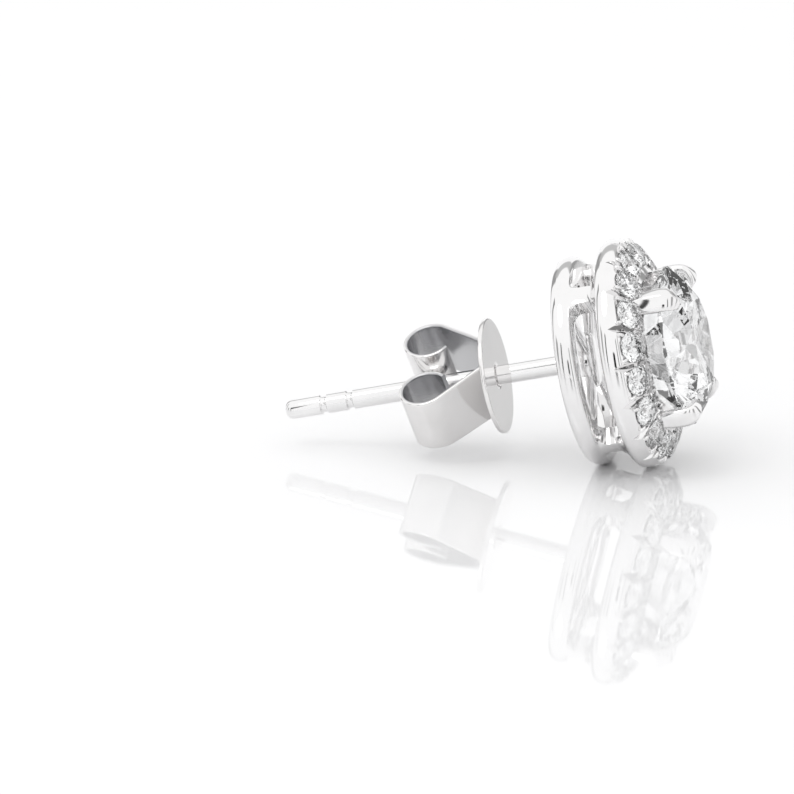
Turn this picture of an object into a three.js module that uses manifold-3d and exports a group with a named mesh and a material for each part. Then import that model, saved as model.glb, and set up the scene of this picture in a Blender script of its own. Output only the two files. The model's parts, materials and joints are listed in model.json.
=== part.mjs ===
// Halo stud earring of white gold with its push-on butterfly back, at its real size in millimetres.
// Each piece is modelled about the earring's own axis: the post runs along Z, the stones face +Z, and
// z = 0 is the back plane of the base ring, which rests on the ear lobe. At the end the whole earring is
// laid on a table (+Z up) as it lies by itself, on the lowest points of its two rims, and the middle of
// its footprint becomes the origin. Angles round the axis are counted from straight down.
import * as THREE from 'three';
import { mergeVertices } from 'three/addons/utils/BufferGeometryUtils.js';
import Module from 'manifold-3d';

const wasm = await Module();
wasm.setup();

const { degToRad } = THREE.MathUtils;
const fullTurn = 2 * Math.PI;

// Centre stone, a round brilliant
const stoneRadius = 3.25;
const stoneTableRadius = 1.85;
const stoneCrownHeight = 0.91;
const stonePavilionDepth = 2.78;
const stoneGirdle = 0.16;
const stoneAboveHalo = 0.69; // from the halo's inner front edge to the middle of the girdle
const stoneRoll = degToRad(15);
const lowerTipShare = 0.22; // of a stone's radius, where its lower halves end beside the culet

// Small brilliants of the halo
const smallStoneCount = 18;
const smallStoneRadius = 0.64;
const smallTableRadius = 0.36;
const smallCrownHeight = 0.18;
const smallPavilionDepth = 0.55;
const smallGirdle = 0.04;
const smallStoneCircle = 3.95; // radius of the circle through their centres
const smallStoneLean = degToRad(30); // they face outwards by this much
const smallStoneRise = 0.05; // middle of the girdle above the metal

// Halo ring
const haloBoreRadius = 3.12;
const haloCrestRadius = 4.72;
const haloBackRadius = 4.32;
const haloRimRadius = 4.5;
const haloBackWidth = 0.42; // from its back face to the crest of the dome
const haloFrontWidth = 0.53; // from the crest to the rim under the stones

// Base ring
const baseBoreRadius = 3.3;
const baseCrestRadius = 4.3;
const baseBackRadius = 4.02;
const baseFrontRadius = 4.04;
const baseBackWidth = 0.44;
const baseFrontWidth = 0.41;

// Gallery between the two rings: a waisted wall with four windows, a long one on either side
const windowHeight = 1.05;
const windowCorner = 0.24;
const waistRadius = 3.95;
const bridgeWidth = 0.8;
const bridgeTurn = degToRad(52); // from the middle of a long window to a bridge

// Claws
const clawCount = 4;
const firstClawAngle = degToRad(-135);
const clawWidth = 0.95;
const clawThickness = 0.64;
const clawOutside = 0.62; // how far a claw stands outside the centre stone's girdle
const clawReach = 0.6; // how far its tip reaches in over the girdle
const clawAboveCrown = 0.12; // the tip's height above the stone under it
const clawTop = 0.98; // the top of its bend above the middle of the girdle
const clawRoot = 0.85; // how deep it is rooted below the halo's inner front edge
const clawRootOut = 0.28; // the middle of its root, from the halo's bore
const clawLean = 0.05; // how much further in it stands at the halo's front than at the girdle
const clawEase = 0.08; // how far in its bend has come when it starts and when it passes the girdle
const clawEaseRise = 0.12; // how far above half way the bend starts
const clawSides = 8;

// Prongs and grooves between the small stones
const prongRadius = 0.115;
const innerProngRadius = 0.085;
const prongHeight = 0.16;
const outerProng = { x: 0.51, y: 0.49 }; // from the small stone's middle, outwards and sideways
const innerProng = { x: -0.54, y: 0.41 };
const grooveDepth = 0.26;
const grooveWidth = 0.42;
const innerGrooveDepth = 0.14;
const innerGrooveWidth = 0.16;
const lightHoleRadius = 0.27; // the hole behind each small stone

// Cross bars, hub and post
const barWidth = 0.85;
const barHeight = 0.62;
const barRecess = 0.12; // bars and hub lie this far in from the back plane
const hubRadius = 1.14;
const hubHeight = 0.7;
const hubEdge = 0.15; // the bevel round its front
const postRadius = 0.4;
const postLength = 12.35; // behind the base ring
const postTipRound = 0.3;
const notchFromTip = 1.65;
const notchPitch = 1.13;
const notchWidth = 0.26;
const notchDepth = 0.08;
const notchFloor = 0.1; // the width of its flat bottom

// Butterfly back
const discRadius = 2.38;
const discThickness = 0.19;
const discToBase = 3.32; // the ear lobe's gap
const stripThickness = 0.17;
const stripWidth = 2.5;
const stripWidthAtDisc = 2.7;
const wingStart = 0.6; // where a wing leaves the disc, from the axis
const scrollHalfWidth = 0.97; // a scroll's outside, across the post
const scrollHalfLength = 1.07; // the same, along the post
const scrollsToDisc = 2.5; // from the disc's back to the scrolls' middle
const scrollEnd = degToRad(128); // where the strip's end stops, round the scroll
const backRoll = degToRad(-60);

// Clearances
const stoneGap = 0.03; // between a stone and its setting
const postGap = 0.05; // between the post and the back

// How finely the round forms are cut
const ringSides = 72; // four for each small stone, with a flat straight down
const domeSteps = 3;
const postSides = 20;
const discSides = 48;
const hubSides = 24;
const scrollSteps = 20;
const centreRoomSides = 48;
const smallRoomSides = 12;
const lightHoleSides = 6;
const prongSides = 5;
const prongRows = 3;
const windowStep = 0.5; // the longest stretch of a window's edge before it bends round with the wall

// Places along the axis that follow from the sizes above
const baseFrontZ = baseBackWidth + baseFrontWidth;
const haloBackZ = baseFrontZ + windowHeight;
const haloCrestZ = haloBackZ + haloBackWidth;
const haloRimZ = haloCrestZ + haloFrontWidth;
const haloFrontZ = haloRimZ + (haloRimRadius - haloBoreRadius) * Math.tan(smallStoneLean);
const stoneZ = haloFrontZ + stoneAboveHalo;
const smallStoneZ = haloRimZ + (haloRimRadius - smallStoneCircle) * Math.tan(smallStoneLean);
const stonePitch = fullTurn / smallStoneCount;
const clawPitch = fullTurn / clawCount;

const whiteGold = new THREE.MeshStandardMaterial({ color: 0xe4e4e6, roughness: 0.1, metalness: 1 });
const diamond = new THREE.MeshStandardMaterial({ color: 0xf2f6f8, roughness: 0.02, metalness: 0 });

// A closed geometry as a solid that can be joined and cut
function toSolid(geometry) {
  const bare = geometry.clone();
  bare.deleteAttribute('normal');
  bare.deleteAttribute('uv');
  const merged = mergeVertices(bare, 1e-5);
  const vertProperties = new Float32Array(merged.attributes.position.array);
  const triVerts = new Uint32Array(merged.index.array);
  return new wasm.Manifold(new wasm.Mesh({ numProp: 3, vertProperties, triVerts }));
}

function toGeometry(solid) {
  const { vertProperties, triVerts } = solid.getMesh();
  const geometry = new THREE.BufferGeometry();
  geometry.setAttribute('position', new THREE.BufferAttribute(vertProperties, 3));
  geometry.setIndex(new THREE.BufferAttribute(triVerts, 1));
  return geometry;
}

// A geometry from a list of corner points and the faces between them, each a convex loop seen from outside
function facetedGeometry(points, faces) {
  const triangles = [];
  for (const face of faces) {
    for (let i = 1; i < face.length - 1; i += 1) {
      triangles.push(face[0], face[i], face[i + 1]);
    }
  }
  const geometry = new THREE.BufferGeometry();
  geometry.setAttribute('position', new THREE.Float32BufferAttribute(points.flat(), 3));
  geometry.setIndex(triangles);
  return geometry;
}

// Turns a closed (radius, z) profile about the axis, with a flat and not a corner straight down
function turned(profile, sides) {
  const points = profile.map(([radius, z]) => new THREE.Vector2(radius, z));
  const geometry = new THREE.LatheGeometry(points, sides, Math.PI / sides);
  geometry.rotateX(Math.PI / 2);
  return geometry;
}

// A quarter of an ellipse from the corner (fromRadius, fromZ) to the crest, in equal steps
function domeQuarter(fromRadius, fromZ, crestRadius, crestZ) {
  const points = [];
  for (let step = 0; step <= domeSteps; step += 1) {
    const angle = (step / domeSteps) * (Math.PI / 2);
    points.push([
      fromRadius + (crestRadius - fromRadius) * Math.sin(angle),
      crestZ + (fromZ - crestZ) * Math.cos(angle),
    ]);
  }
  return points;
}

// A round brilliant about Z with the middle of its girdle at z = 0: table, 8 stars, 8 kites and 16 upper
// halves above, 16 lower halves and 8 mains below. edgeSteps is the number of girdle flats under each half.
function brilliant({ radius, tableRadius, crown, pavilion, girdle, edgeSteps }) {
  const eighth = Math.PI / 4;
  const points = [];
  const faces = [];
  const add = (r, angle, z) => points.push([r * Math.cos(angle), r * Math.sin(angle), z]) - 1;
  const upperZ = girdle / 2;
  const lowerZ = -girdle / 2;
  const tableZ = upperZ + crown;
  const culetZ = lowerZ - pavilion;

  // Stars reach half way from the table to the girdle, and lower halves four fifths of the way to the culet
  const starRadius = (tableRadius * Math.cos(eighth / 2) + radius) / 2;
  const crownSlope = crown / (radius - tableRadius);
  const starZ = tableZ - (starRadius * Math.cos(eighth / 2) - tableRadius) * crownSlope;
  const lowerRadius = radius * lowerTipShare;
  const lowerTipZ = culetZ + (lowerRadius * Math.cos(eighth / 2) * pavilion) / radius;

  // The height at which the plane of a half, through its tip and its chord of the girdle, meets the round
  const planeZ = (tipRadius, tipZ, edgeZ, share) => {
    const quarter = eighth / 4;
    const chord = radius * Math.cos(quarter);
    const out = radius * Math.cos((share - 0.5) * 2 * quarter) - chord;
    const tipIn = chord - tipRadius * Math.cos(quarter);
    return edgeZ - (out * (tipZ - edgeZ)) / tipIn;
  };

  const culet = add(0, 0, culetZ);
  const tables = [];
  const stars = [];
  const lowers = [];
  for (let k = 0; k < 8; k += 1) {
    tables.push(add(tableRadius, k * eighth, tableZ));
    stars.push(add(starRadius, (k + 0.5) * eighth, starZ));
    lowers.push(add(lowerRadius, (k + 0.5) * eighth, lowerTipZ));
  }
  const flats = 16 * edgeSteps;
  const upperEdge = [];
  const lowerEdge = [];
  for (let i = 0; i < flats; i += 1) {
    const share = (i % edgeSteps) / edgeSteps;
    const angle = (i * fullTurn) / flats;
    upperEdge.push(add(radius, angle, planeZ(starRadius, starZ, upperZ, share)));
    lowerEdge.push(add(radius, angle, planeZ(lowerRadius, lowerTipZ, lowerZ, share)));
  }
  const edgeRun = (edge, half) => {
    const run = [];
    for (let i = 0; i <= edgeSteps; i += 1) {
      run.push(edge[(half * edgeSteps + i) % flats]);
    }
    return run;
  };

  faces.push(tables);
  for (let k = 0; k < 8; k += 1) {
    const before = (k + 7) % 8;
    const after = (k + 1) % 8;
    faces.push([tables[k], stars[k], tables[after]]);
    faces.push([tables[k], stars[before], upperEdge[2 * k * edgeSteps], stars[k]]);
    faces.push([stars[k], ...edgeRun(upperEdge, 2 * k)]);
    faces.push([stars[k], ...edgeRun(upperEdge, 2 * k + 1)]);
    faces.push([culet, lowers[k], lowerEdge[2 * k * edgeSteps], lowers[before]]);
    faces.push([lowers[k], ...edgeRun(lowerEdge, 2 * k).reverse()]);
    faces.push([lowers[k], ...edgeRun(lowerEdge, 2 * k + 1).reverse()]);
  }
  for (let i = 0; i < flats; i += 1) {
    const next = (i + 1) % flats;
    faces.push([lowerEdge[i], lowerEdge[next], upperEdge[next], upperEdge[i]]);
  }
  return facetedGeometry(points, faces);
}

// The room that a stone takes in its setting: the stone's outline of revolution, larger by the gap all over
function stoneRoom({ radius, tableRadius, crown, pavilion, girdle }, sides) {
  const round = 1 / Math.cos(Math.PI / sides);
  const profile = [
    [0, -girdle / 2 - pavilion - 2 * stoneGap],
    [(radius + stoneGap) * round, -girdle / 2 - stoneGap / 2],
    [(radius + stoneGap) * round, girdle / 2 + stoneGap / 2],
    [(tableRadius + stoneGap) * round, girdle / 2 + crown + stoneGap],
    [0, girdle / 2 + crown + stoneGap],
  ];
  return turned(profile, sides);
}

const centreCut = {
  radius: stoneRadius,
  tableRadius: stoneTableRadius,
  crown: stoneCrownHeight,
  pavilion: stonePavilionDepth,
  girdle: stoneGirdle,
  edgeSteps: 4,
};
const smallCut = {
  radius: smallStoneRadius,
  tableRadius: smallTableRadius,
  crown: smallCrownHeight,
  pavilion: smallPavilionDepth,
  girdle: smallGirdle,
  edgeSteps: 1,
};

// Moves a geometry that is modelled on the halo's leaning front (x outwards along it, z away from it)
function onHalo(geometry, angle) {
  geometry.rotateY(smallStoneLean);
  geometry.translate(smallStoneCircle, 0, smallStoneZ);
  geometry.rotateZ(angle);
  return geometry;
}

const cutLineAngle = (i) => firstClawAngle + i * stonePitch;
const smallStoneAngle = (i) => firstClawAngle + (i + 0.5) * stonePitch;
const clawAngle = (i) => firstClawAngle + i * clawPitch;
const bridgeAngles = [-1, 1].flatMap((side) => {
  const windowAngle = (side * Math.PI) / 2;
  return [windowAngle - bridgeTurn, windowAngle + bridgeTurn];
});

// The two domed rings and the waisted wall between them, before the windows are cut
function ringsAndWall() {
  const profile = [
    [baseBoreRadius, 0],
    ...domeQuarter(baseBackRadius, 0, baseCrestRadius, baseBackWidth),
    ...domeQuarter(baseFrontRadius, baseFrontZ, baseCrestRadius, baseBackWidth).reverse().slice(1),
    [waistRadius, baseFrontZ + windowCorner],
    [waistRadius, haloBackZ - windowCorner],
    ...domeQuarter(haloBackRadius, haloBackZ, haloCrestRadius, haloCrestZ),
    ...domeQuarter(haloRimRadius, haloRimZ, haloCrestRadius, haloCrestZ).reverse().slice(1),
    [haloBoreRadius, haloFrontZ],
    [haloBoreRadius, haloBackZ],
    [baseBoreRadius, haloBackZ - windowCorner],
    [baseBoreRadius, 0],
  ];
  return toSolid(turned(profile, ringSides));
}

// A window of the gallery, with round corners, from one bridge to the next. Its outline is drawn flat, as
// arc length and height, and then bent round the axis.
function windowRoom(fromAngle, toAngle) {
  const low = fromAngle * waistRadius + bridgeWidth / 2;
  const high = toAngle * waistRadius - bridgeWidth / 2;
  const bottom = baseFrontZ;
  const top = haloBackZ;
  const corner = windowCorner;
  const cornerSteps = 3;
  const edgeSteps = Math.ceil((high - low) / windowStep);
  const outline = [];
  const addCorner = (x, z, startAngle) => {
    for (let i = 0; i <= cornerSteps; i += 1) {
      const angle = startAngle + (i / cornerSteps) * (Math.PI / 2);
      outline.push(new THREE.Vector2(x + corner * Math.cos(angle), z + corner * Math.sin(angle)));
    }
  };
  const addEdge = (fromX, toX, z) => {
    for (let i = 1; i < edgeSteps; i += 1) {
      outline.push(new THREE.Vector2(fromX + ((toX - fromX) * i) / edgeSteps, z));
    }
  };
  addCorner(high - corner, top - corner, 0);
  addEdge(high - corner, low + corner, top);
  addCorner(low + corner, top - corner, Math.PI / 2);
  addCorner(low + corner, bottom + corner, Math.PI);
  addEdge(low + corner, high - corner, bottom);
  addCorner(high - corner, bottom + corner, (3 * Math.PI) / 2);

  const inside = baseBoreRadius / 2;
  const outside = 2 * haloCrestRadius;
  const depth = outside - inside;
  const room = new THREE.ExtrudeGeometry(new THREE.Shape(outline), { depth, bevelEnabled: false });
  const place = room.attributes.position;
  for (let i = 0; i < place.count; i += 1) {
    const angle = place.getX(i) / waistRadius;
    const radius = inside + place.getZ(i);
    place.setXYZ(i, radius * Math.cos(angle), radius * Math.sin(angle), place.getY(i));
  }
  return toSolid(room);
}

// A closed tapering form through rings of points, one ring for each section
function lofted(rings) {
  const points = rings.flat();
  const size = rings[0].length;
  const faces = [rings[0].map((_, i) => size - 1 - i)];
  for (let ring = 0; ring < rings.length - 1; ring += 1) {
    for (let i = 0; i < size; i += 1) {
      const next = (i + 1) % size;
      const below = ring * size;
      const above = below + size;
      faces.push([below + i, below + next, above + next, above + i]);
    }
  }
  faces.push(rings[0].map((_, i) => (rings.length - 1) * size + i));
  return facetedGeometry(points, faces);
}

// Sections of a claw: where along its centre line, and its thickness and width there as shares of the
// claw's own. Thickness is across the bend, and width runs round the axis.
const clawSections = [
  { along: 0, thickness: 0.86, width: 0.86 },
  { along: 0.3, thickness: 0.92, width: 0.92 },
  { along: 0.5, thickness: 1, width: 1 },
  { along: 0.66, thickness: 1, width: 1 },
  { along: 0.79, thickness: 0.86, width: 0.88 },
  { along: 0.9, thickness: 0.56, width: 0.54 },
  { along: 1, thickness: 0.14, width: 0.12 },
];

// A claw stands on the halo's inner edge, rises past the girdle, bends in over the crown and ends in a point
function claw(angle) {
  const middle = stoneRadius + clawOutside - clawThickness / 2;
  const crownSlope = stoneCrownHeight / (stoneRadius - stoneTableRadius);
  const tipZ = stoneZ + stoneGirdle / 2 + clawReach * crownSlope + clawAboveCrown;
  const bendZ = stoneZ + clawTop - clawThickness / 2;
  const line = new THREE.CatmullRomCurve3([
    new THREE.Vector3(haloBoreRadius + clawRootOut, 0, haloFrontZ - clawRoot),
    new THREE.Vector3(middle - clawLean, 0, haloFrontZ),
    new THREE.Vector3(middle, 0, stoneZ),
    new THREE.Vector3(middle - clawEase, 0, (stoneZ + bendZ) / 2 + clawEaseRise),
    new THREE.Vector3(stoneRadius - clawEase, 0, bendZ),
    new THREE.Vector3(stoneRadius - clawReach, 0, tipZ),
  ]);
  const round = 1 / Math.cos(Math.PI / clawSides);
  const rings = clawSections.map(({ along, thickness, width }) => {
    const centre = line.getPoint(along);
    const tangent = line.getTangent(along);
    const across = new THREE.Vector3(tangent.z, 0, -tangent.x);
    const ring = [];
    for (let i = 0; i < clawSides; i += 1) {
      const turn = ((i + 0.5) * fullTurn) / clawSides;
      const outwards = (Math.cos(turn) * round * thickness * clawThickness) / 2;
      const sideways = (Math.sin(turn) * round * width * clawWidth) / 2;
      ring.push([centre.x + across.x * outwards, sideways, centre.z + across.z * outwards]);
    }
    return ring;
  });
  return toSolid(lofted(rings).rotateZ(angle));
}

// The V groove between two small stones: it runs outwards down the halo's front, widening and deepening,
// and splits the metal there into a prong for each stone
function groove(angle) {
  const overrun = 0.3;
  const above = 0.5;
  const inner = haloBoreRadius - smallStoneCircle - overrun;
  const outer = (haloCrestRadius - smallStoneCircle) / Math.cos(smallStoneLean) + overrun;
  const section = (x, depth, width) => {
    const top = (width / 2 / depth) * (depth + above);
    return [[x, 0, -depth], [x, top, above], [x, -top, above]];
  };
  const rings = [
    section(inner, innerGrooveDepth, innerGrooveWidth),
    section(outer, grooveDepth, grooveWidth),
  ];
  return toSolid(onHalo(lofted(rings), angle));
}

// The four prongs of one small stone, round-headed, in the corners that the grooves leave
function prongs(angle) {
  const corners = [
    [outerProng.x, outerProng.y, prongRadius],
    [outerProng.x, -outerProng.y, prongRadius],
    [innerProng.x, innerProng.y, innerProngRadius],
    [innerProng.x, -innerProng.y, innerProngRadius],
  ];
  return corners.map(([x, y, radius]) => {
    const head = new THREE.SphereGeometry(radius, prongSides, prongRows);
    head.rotateX(Math.PI / 2);
    head.scale(1, 1, prongHeight / radius);
    head.translate(x, y, 0);
    return toSolid(onHalo(head, angle));
  });
}

// The hole through the metal behind a small stone
function lightHole(angle) {
  const culet = smallGirdle / 2 + smallPavilionDepth - smallStoneRise;
  const radius = smallStoneCircle - culet * Math.sin(smallStoneLean);
  const top = smallStoneZ - culet * Math.cos(smallStoneLean) + lightHoleRadius;
  const bottom = haloBackZ - lightHoleRadius;
  const height = top - bottom;
  const hole = new THREE.CylinderGeometry(lightHoleRadius, lightHoleRadius, height, lightHoleSides);
  hole.rotateX(Math.PI / 2);
  hole.translate(radius, 0, (top + bottom) / 2);
  hole.rotateZ(angle);
  return toSolid(hole);
}

// Bars from the hub to the base ring under the four claws, and the hub that carries the post
function crossBars() {
  const reach = (baseBoreRadius + waistRadius) / 2;
  const bars = [];
  for (let i = 0; i < clawCount; i += 1) {
    const bar = new THREE.BoxGeometry(reach, barWidth, barHeight);
    bar.translate(reach / 2, 0, barRecess + barHeight / 2);
    bar.rotateZ(clawAngle(i));
    bars.push(toSolid(bar));
  }
  const hubProfile = [
    [0, barRecess],
    [hubRadius, barRecess],
    [hubRadius, barRecess + hubHeight - hubEdge],
    [hubRadius - hubEdge, barRecess + hubHeight],
    [0, barRecess + hubHeight],
  ];
  return [...bars, toSolid(turned(hubProfile, hubSides))];
}

// The post, with a rounded tip and two friction notches near it
function post() {
  const profile = [[0, -postLength]];
  const tipSteps = 3;
  for (let i = 1; i <= tipSteps; i += 1) {
    const angle = (i / tipSteps) * (Math.PI / 2);
    profile.push([
      postRadius - postTipRound + postTipRound * Math.sin(angle),
      -postLength + postTipRound - postTipRound * Math.cos(angle),
    ]);
  }
  for (const fromTip of [notchFromTip, notchFromTip + notchPitch]) {
    const middle = -postLength + fromTip;
    profile.push([postRadius, middle - notchWidth / 2]);
    profile.push([postRadius - notchDepth, middle - notchFloor / 2]);
    profile.push([postRadius - notchDepth, middle + notchFloor / 2]);
    profile.push([postRadius, middle + notchWidth / 2]);
  }
  profile.push([postRadius, hubHeight / 2], [0, hubHeight / 2]);
  return toSolid(turned(profile, postSides));
}

const centreRoom = toSolid(stoneRoom(centreCut, centreRoomSides).translate(0, 0, stoneZ));

// The setting: cast and soldered, so one solid
function setting() {
  let body = ringsAndWall();
  bridgeAngles.forEach((angle, i) => {
    const next = bridgeAngles[i + 1] ?? bridgeAngles[0] + fullTurn;
    body = body.subtract(windowRoom(angle, next));
  });
  for (let i = 0; i < smallStoneCount; i += 1) {
    body = body.subtract(groove(cutLineAngle(i)));
  }
  for (let i = 0; i < smallStoneCount; i += 1) {
    for (const prong of prongs(smallStoneAngle(i))) {
      body = body.add(prong);
    }
  }
  for (let i = 0; i < clawCount; i += 1) {
    body = body.add(claw(clawAngle(i)));
  }
  for (let i = 0; i < smallStoneCount; i += 1) {
    const room = stoneRoom(smallCut, smallRoomSides).translate(0, 0, smallStoneRise);
    body = body.subtract(toSolid(onHalo(room, smallStoneAngle(i))));
    body = body.subtract(lightHole(smallStoneAngle(i)));
  }
  body = body.subtract(centreRoom);
  for (const piece of [...crossBars(), post()]) {
    body = body.add(piece);
  }
  return toGeometry(body);
}

// One wing of the butterfly back: the strip leaves the disc at a slant, runs round the scroll and comes
// back beside the post. The outline is drawn across the strip and pulled out to the strip's width.
function wing(side) {
  const half = stripThickness / 2;
  const acrossRadius = scrollHalfWidth - half;
  const alongRadius = scrollHalfLength - half;
  const middleX = postRadius + postGap + scrollHalfWidth;
  const middleZ = -discToBase - discThickness - scrollsToDisc;
  const startZ = -discToBase - discThickness / 2;
  const startX = wingStart;
  const seenX = (startX - middleX) / acrossRadius;
  const seenZ = (startZ - middleZ) / alongRadius;
  const tangentAngle = Math.atan2(seenZ, seenX) - Math.acos(1 / Math.hypot(seenX, seenZ));
  const turn = tangentAngle + fullTurn - scrollEnd;
  const line = [new THREE.Vector2(startX, startZ)];
  for (let i = 0; i <= scrollSteps; i += 1) {
    const angle = tangentAngle - (turn * i) / scrollSteps;
    line.push(new THREE.Vector2(
      middleX + acrossRadius * Math.cos(angle),
      middleZ + alongRadius * Math.sin(angle),
    ));
  }
  const outer = [];
  const inner = [];
  line.forEach((point, i) => {
    const from = line[Math.max(i - 1, 0)];
    const to = line[Math.min(i + 1, line.length - 1)];
    const ahead = to.clone().sub(from).normalize();
    const aside = new THREE.Vector2(-ahead.y, ahead.x).multiplyScalar(half);
    outer.push(point.clone().add(aside));
    inner.push(point.clone().sub(aside));
  });
  const outline = new THREE.Shape([...outer, ...inner.reverse()]);
  const strip = new THREE.ExtrudeGeometry(outline, { depth: 1, bevelEnabled: false });
  const place = strip.attributes.position;
  for (let i = 0; i < place.count; i += 1) {
    const z = place.getY(i);
    const nearDisc = THREE.MathUtils.clamp((z - middleZ) / (startZ - middleZ), 0, 1);
    const width = stripWidth + (stripWidthAtDisc - stripWidth) * nearDisc;
    const x = place.getX(i) * side;
    place.setXYZ(i, x, (place.getZ(i) - 0.5) * width * -side, z);
  }
  return toSolid(strip);
}

// The butterfly back: a round disc with the post's hole, and two wings bent from one strip
function butterflyBack() {
  const hole = (postRadius + postGap) / Math.cos(Math.PI / discSides);
  const front = -discToBase;
  const rear = front - discThickness;
  const profile = [[hole, rear], [discRadius, rear], [discRadius, front], [hole, front], [hole, rear]];
  const disc = toSolid(turned(profile, discSides));
  const body = disc.add(wing(1)).add(wing(-1));
  return toGeometry(body).rotateZ(backRoll);
}

// The slant at which both rims touch the table: the line that lies on the lowest point of each
function restTilt() {
  const flat = Math.cos(Math.PI / ringSides);
  const base = domeQuarter(baseBackRadius, 0, baseCrestRadius, baseBackWidth);
  base.push(...domeQuarter(baseFrontRadius, baseFrontZ, baseCrestRadius, baseBackWidth));
  const halo = domeQuarter(haloBackRadius, haloBackZ, haloCrestRadius, haloCrestZ);
  halo.push(...domeQuarter(haloRimRadius, haloRimZ, haloCrestRadius, haloCrestZ));
  let tilt = 0;
  for (let round = 0; round < 8; round += 1) {
    const lowest = (points) => points.reduce((best, point) => {
      const height = ([radius, z]) => z * Math.sin(tilt) - radius * flat * Math.cos(tilt);
      return height(point) < height(best) ? point : best;
    });
    const [baseRadius, baseZ] = lowest(base);
    const [haloRadius, haloZ] = lowest(halo);
    tilt = Math.atan2((haloRadius - baseRadius) * flat, haloZ - baseZ);
  }
  return tilt;
}

function namedMesh(name, geometry, material) {
  const mesh = new THREE.Mesh(geometry, material);
  mesh.name = name;
  return mesh;
}

const stud = new THREE.Group();
stud.add(namedMesh('setting', setting(), whiteGold));

const centreStone = namedMesh('centre_stone', brilliant(centreCut), diamond);
centreStone.position.z = stoneZ;
centreStone.rotation.z = stoneRoll;
stud.add(centreStone);

for (let i = 0; i < smallStoneCount; i += 1) {
  const number = String(i + 1).padStart(2, '0');
  const spoke = new THREE.Group();
  spoke.rotation.z = smallStoneAngle(i);
  const stone = namedMesh(`halo_stone_${number}`, brilliant(smallCut), diamond);
  stone.position.set(
    smallStoneCircle + smallStoneRise * Math.sin(smallStoneLean),
    0,
    smallStoneZ + smallStoneRise * Math.cos(smallStoneLean),
  );
  stone.rotation.y = smallStoneLean;
  spoke.add(stone);
  stud.add(spoke);
}

stud.add(namedMesh('butterfly_back', butterflyBack(), whiteGold));

// Laid on the table: the axis slants by the rest tilt, with the face to +X
stud.rotation.y = Math.PI / 2 - restTilt();
const group = new THREE.Group();
group.add(stud);
const extent = new THREE.Box3().setFromObject(group, true);
const middle = extent.getCenter(new THREE.Vector3());
stud.position.set(-middle.x, -middle.y, -extent.min.z);
group.updateMatrixWorld(true);

export default group;
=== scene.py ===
# %% [markdown]
# # A halo stud earring, dressed for the camera
#
# The engineering model of the earring comes in as a fixed frame: every piece at its real place, in
# metres. This lesson gives it its looks. Jewellery is hard to render for two reasons that we meet again
# and again: polished metal shows nothing but what it mirrors, so the light has to be built as carefully
# as the metal, and a cut stone only sparkles if its facets are real flat faces.

# %% Load the frame
import json
import math

import bmesh
import bpy
import numpy as np
from mathutils import Matrix, Vector


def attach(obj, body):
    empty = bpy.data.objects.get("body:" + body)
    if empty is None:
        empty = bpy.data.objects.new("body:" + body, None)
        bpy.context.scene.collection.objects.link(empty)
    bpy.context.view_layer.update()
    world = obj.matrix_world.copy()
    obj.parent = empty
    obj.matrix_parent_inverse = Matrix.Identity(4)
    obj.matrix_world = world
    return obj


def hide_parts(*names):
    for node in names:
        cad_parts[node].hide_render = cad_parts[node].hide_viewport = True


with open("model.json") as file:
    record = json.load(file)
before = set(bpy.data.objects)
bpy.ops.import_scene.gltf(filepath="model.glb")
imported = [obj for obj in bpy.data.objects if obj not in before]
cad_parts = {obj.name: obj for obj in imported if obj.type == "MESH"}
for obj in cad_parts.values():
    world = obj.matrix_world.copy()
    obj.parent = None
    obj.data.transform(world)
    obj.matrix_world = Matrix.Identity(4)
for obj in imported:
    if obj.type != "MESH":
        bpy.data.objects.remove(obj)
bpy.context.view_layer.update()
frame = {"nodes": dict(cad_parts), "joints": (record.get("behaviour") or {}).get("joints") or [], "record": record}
print("nodes in the frame:", len(frame["nodes"]))

# %% [markdown]
# ## The stud's own frame
#
# The stud lies aslant on the table, so nothing on it is square to the world. Turned work is much easier
# to describe about its own axis: radius, angle and height, in millimetres. We read that axis from the
# joint that the back slides on, put the zero at the back plane of the base ring, and make one matrix
# that carries every piece from the stud's frame into the row's. Angles are counted from straight down,
# and -90 degrees faces the camera.

# %% The stud's frame and a ruler for it
MM = 0.001
SAME_PLACE = 0.002  # mm; corners that lie closer than this count as one place
axis = Vector(frame["joints"][0]["axis"]).normalized()
lobe_face = next(m for m in frame["record"]["mounts"] if m["name"] == "lobe_face")
base_middle = Vector((lobe_face["pos_m"][0], 0.0, lobe_face["pos_m"][2]))
down = Vector((axis.z, 0.0, -axis.x))
across = Vector((0.0, 1.0, 0.0))
turn_to_row = Matrix((down, across, axis)).transposed().to_4x4()
stud_to_row = Matrix.Translation(base_middle) @ turn_to_row @ Matrix.Scale(MM, 4)
row_to_stud = stud_to_row.inverted()
print("the axis rises by", round(math.degrees(math.asin(axis.z)), 2), "degrees")


class Ruler:
    """Measures a node in the stud's frame: the radius and height of its corners, between two heights."""

    def __init__(self, node):
        self.points = np.array([row_to_stud @ v.co for v in frame["nodes"][node].data.vertices])
        self.radius = np.hypot(self.points[:, 0], self.points[:, 1])
        self.z = self.points[:, 2]
        self.angle = math.atan2(self.points[:, 1].mean(), self.points[:, 0].mean())

    def between(self, low, high):
        """Which corners lie between two heights."""
        return (self.z > low) & (self.z < high)

    def widest(self, low, high):
        """The largest radius between two heights, and the middle of the heights where it is reached."""
        inside = self.between(low, high)
        largest = self.radius[inside].max()
        heights = self.z[inside & (self.radius > largest - SAME_PLACE)]
        return float(largest), float(heights.mean())

    def narrowest(self, low, high):
        """The smallest radius between two heights."""
        return float(self.radius[self.between(low, high)].min())


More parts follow.
